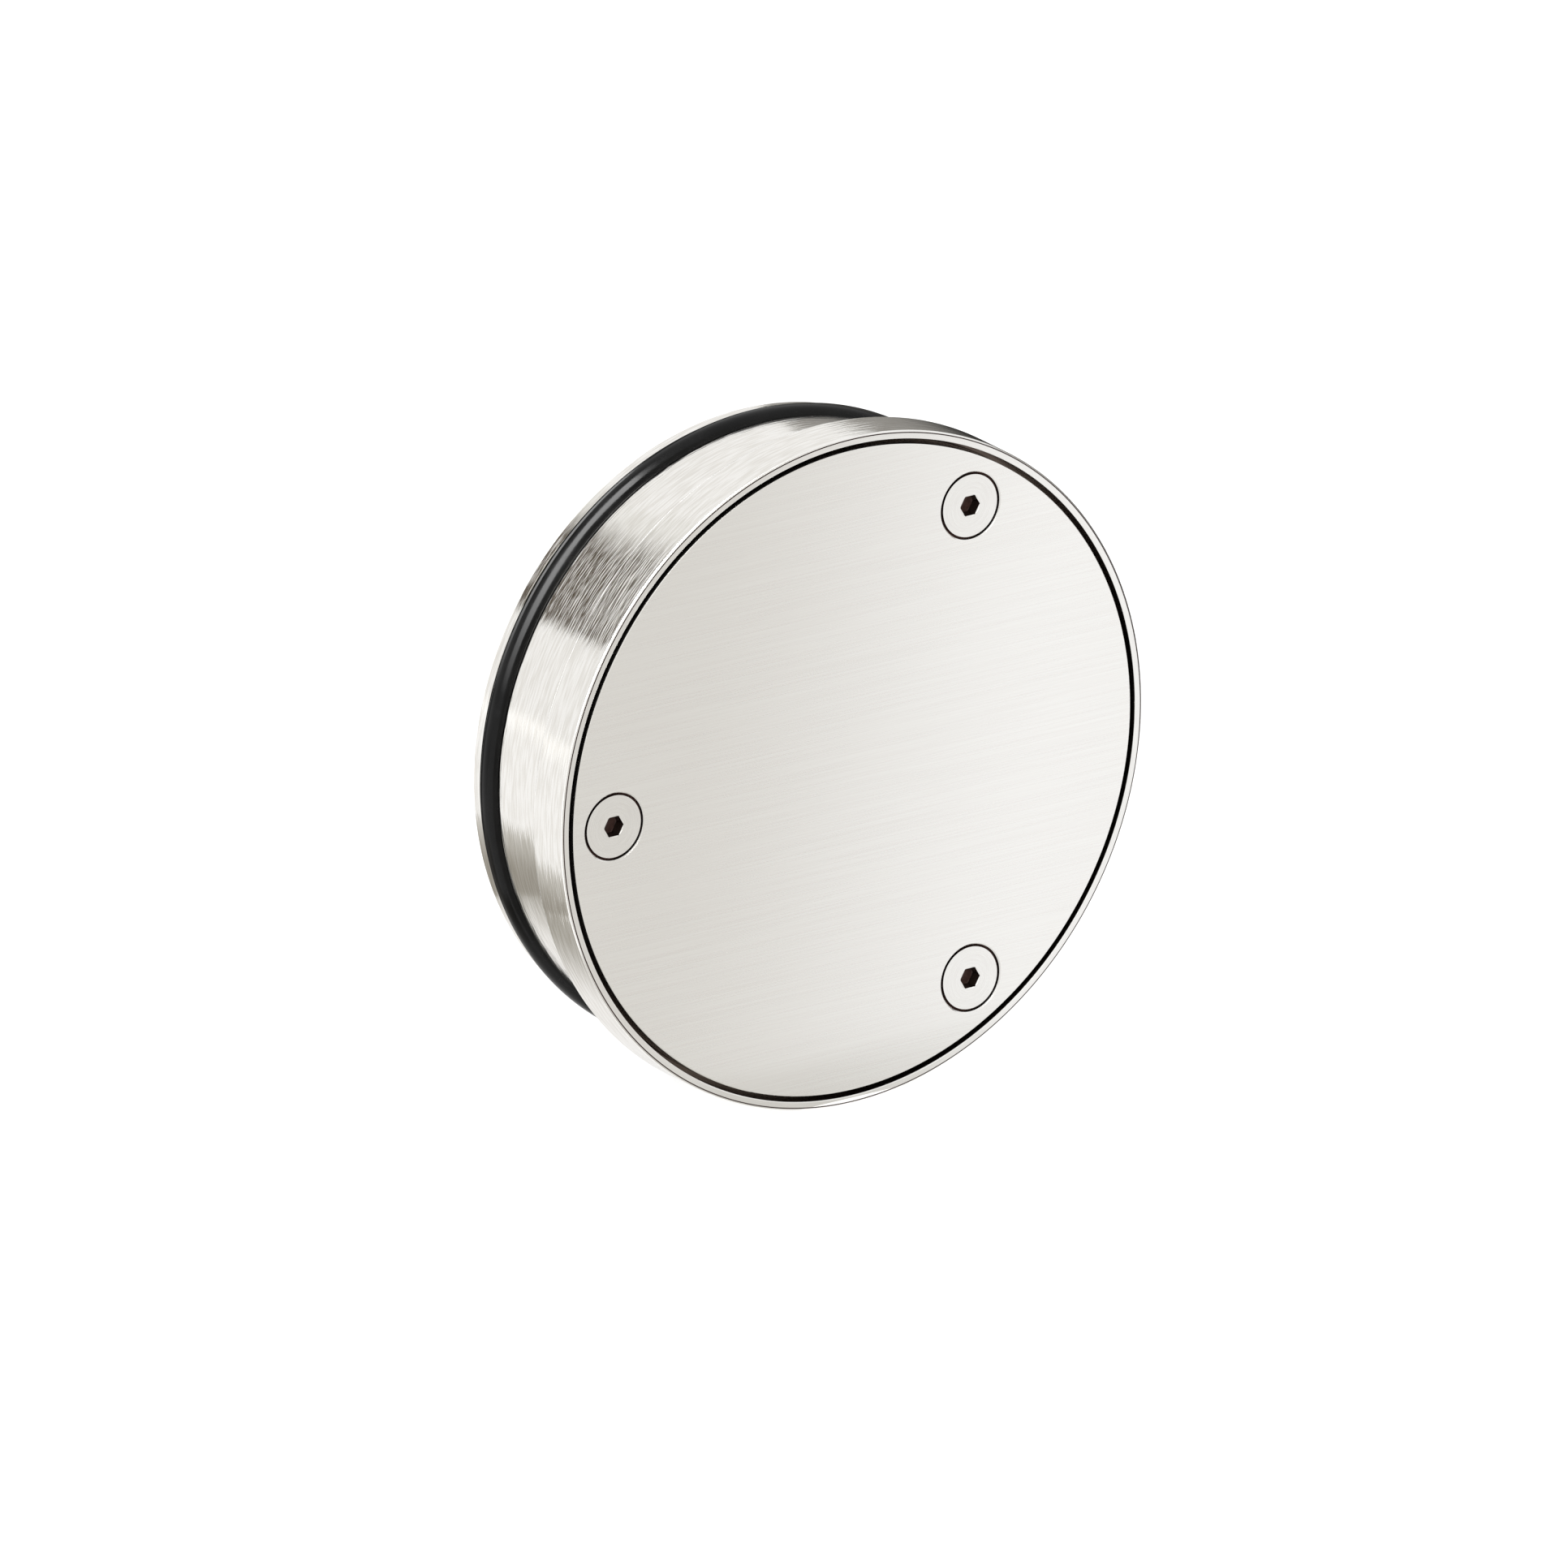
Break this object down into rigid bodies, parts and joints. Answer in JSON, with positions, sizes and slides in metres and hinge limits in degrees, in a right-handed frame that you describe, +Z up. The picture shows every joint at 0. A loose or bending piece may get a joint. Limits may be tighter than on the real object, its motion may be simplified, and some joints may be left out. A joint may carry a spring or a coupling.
{
  "type": "opening porthole",
  "caption": "Round steel porthole: a flush cover on guide pillars is screwed straight out of its rimmed frame by an inboard handwheel; a rubber ring grips the hull.",
  "frame": {"origin": "on the porthole's axis, in the plane where the back of the front ring rests on the hull", "axes": "+Y along the axis and inboard, -Y outboard (the way the cover opens), +Z up, +X to the right seen from outboard"},
  "size_m": [0.171, 0.0727, 0.171],
  "materials": {
    "brushed_steel": "satin brushed stainless steel",
    "screw_steel": "satin stainless fasteners",
    "turned_steel": "fine-turned bright stainless steel",
    "black_rubber": "satin black rubber",
    "bronze": "machined bronze"
  },
  "bodies": {
    "frame": {"front_ring": "brushed_steel", "barrel": "brushed_steel", "cover_seal": "black_rubber", "expansion_seal": "black_rubber", "rear_ring": "brushed_steel", "guide_bush_1": "bronze", "guide_bush_2": "bronze", "guide_bush_3": "bronze", "clamp_screw_1": "screw_steel", "clamp_screw_2": "screw_steel", "clamp_screw_3": "screw_steel", "clamp_screw_4": "screw_steel", "clamp_screw_5": "screw_steel", "clamp_screw_6": "screw_steel", "bridge": "brushed_steel", "bridge_screw_1": "screw_steel", "bridge_screw_2": "screw_steel", "bridge_screw_3": "screw_steel", "bearing_bush": "bronze"},
    "cover": {"cover_disc": "brushed_steel", "cover_screw_1": "screw_steel", "cover_screw_2": "screw_steel", "cover_screw_3": "screw_steel", "guide_pillar_1": "turned_steel", "guide_pillar_2": "turned_steel", "guide_pillar_3": "turned_steel", "stop_pin_1": "turned_steel", "stop_pin_2": "turned_steel", "stop_pin_3": "turned_steel", "spindle_nut": "bronze", "nut_screw_1": "screw_steel", "nut_screw_2": "screw_steel", "nut_screw_3": "screw_steel"},
    "drive": {"spindle": "turned_steel", "handwheel": "brushed_steel", "wheel_washer": "screw_steel", "wheel_screw": "screw_steel"}
  },
  "joints": [
    {"name": "cover_slide", "type": "slide", "parent": "frame", "child": "cover", "axis": [0, -1, 0], "range_m": [0, 0.018]},
    {"name": "handwheel_turn", "type": "hinge", "parent": "frame", "child": "drive", "pos_m": [0, 0.0498, 0], "axis": [0, 1, 0], "range_deg": [0, 1620]}
  ],
  "couplings": [
    {"joint": "handwheel_turn", "follows": "cover_slide", "rad_per_m": 1570.8}
  ]
}
